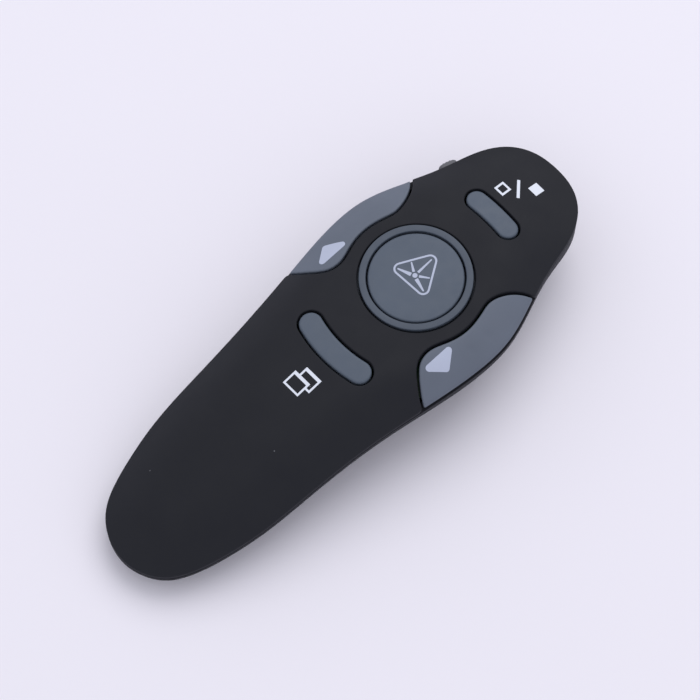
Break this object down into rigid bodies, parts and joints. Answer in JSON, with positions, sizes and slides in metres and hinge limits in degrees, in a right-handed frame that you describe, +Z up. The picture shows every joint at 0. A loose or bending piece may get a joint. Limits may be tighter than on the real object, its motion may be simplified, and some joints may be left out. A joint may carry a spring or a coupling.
{
  "type": "wireless presentation clicker",
  "caption": "Hand-held presentation remote with a round laser button in a fixed ring, two page keys, two small keys, a side power slide and a sliding battery door.",
  "frame": {"origin": "on the table, under the middle of the outer box", "axes": "+X from the tail to the nose, where the laser leaves; +Y to the user's left; +Z up through the keys"},
  "size_m": [0.1244, 0.0462, 0.0238],
  "materials": {
    "soft_touch_black": "fine matt soft-touch paint over plastic",
    "key_grey": "slate-grey painted plastic, satin",
    "window_dark": "smoked gloss plastic",
    "board_green": "solder mask",
    "part_black": "moulded black plastic",
    "can_steel": "plain pressed steel",
    "barrel_brass": "turned brass",
    "lens_clear": "clear",
    "cell_jacket": "printed foil jacket, plain",
    "contact_nickel": "nickel plate",
    "screw_steel": "zinc-plated steel"
  },
  "bodies": {
    "housing": {"top_shell": "soft_touch_black", "bottom_shell": "soft_touch_black", "laser_button_bezel": "key_grey", "front_window": "window_dark", "main_board": "board_green", "radio_chip": "part_black", "crystal": "can_steel", "tact_switch_laser": "part_black", "tact_switch_page_back": "part_black", "tact_switch_page_forward": "part_black", "tact_switch_slideshow": "part_black", "tact_switch_black_screen": "part_black", "power_switch_body": "can_steel", "laser_barrel": "barrel_brass", "laser_lens": "lens_clear", "laser_diode": "can_steel", "cell_left": "cell_jacket", "cell_right": "cell_jacket", "positive_contact": "contact_nickel", "negative_contact": "contact_nickel", "bridge_contact": "contact_nickel", "usb_receiver_housing": "part_black", "usb_receiver_plug": "can_steel", "usb_receiver_tongue": "part_black", "case_screws": "screw_steel", "board_screws": "screw_steel"},
    "laser_button_unit": {"laser_button": "key_grey", "tact_plunger_laser": "part_black"},
    "page_back_unit": {"page_back_key": "key_grey", "tact_plunger_page_back": "part_black"},
    "page_forward_unit": {"page_forward_key": "key_grey", "tact_plunger_page_forward": "part_black"},
    "slideshow_unit": {"slideshow_key": "key_grey", "tact_plunger_slideshow": "part_black"},
    "black_screen_unit": {"black_screen_key": "key_grey", "tact_plunger_black_screen": "part_black"},
    "power_knob": {"power_switch_knob": "key_grey"},
    "battery_lid": {"battery_door": "soft_touch_black"}
  },
  "joints": [
    {"name": "laser_button_press", "type": "slide", "parent": "housing", "child": "laser_button_unit", "axis": [0.0488, 0, -0.9988], "range_m": [0, 0.0004], "stiffness_N_per_m": 2500, "springref_m": -0.0002},
    {"name": "page_back_press", "type": "slide", "parent": "housing", "child": "page_back_unit", "axis": [0, 0, -1], "range_m": [0, 0.0004], "stiffness_N_per_m": 2500, "springref_m": -0.0002},
    {"name": "page_forward_press", "type": "slide", "parent": "housing", "child": "page_forward_unit", "axis": [0, 0, -1], "range_m": [0, 0.0004], "stiffness_N_per_m": 2500, "springref_m": -0.0002},
    {"name": "slideshow_press", "type": "slide", "parent": "housing", "child": "slideshow_unit", "axis": [0, 0, -1], "range_m": [0, 0.0004], "stiffness_N_per_m": 2500, "springref_m": -0.0002},
    {"name": "black_screen_press", "type": "slide", "parent": "housing", "child": "black_screen_unit", "axis": [0, 0, -1], "range_m": [0, 0.0004], "stiffness_N_per_m": 2500, "springref_m": -0.0002},
    {"name": "power_slide", "type": "slide", "parent": "housing", "child": "power_knob", "axis": [0.9681, -0.2504, 0], "range_m": [0, 0.0026]},
    {"name": "battery_door_slide", "type": "slide", "parent": "housing", "child": "battery_lid", "axis": [-1, 0, 0], "range_m": [0, 0.081]}
  ]
}
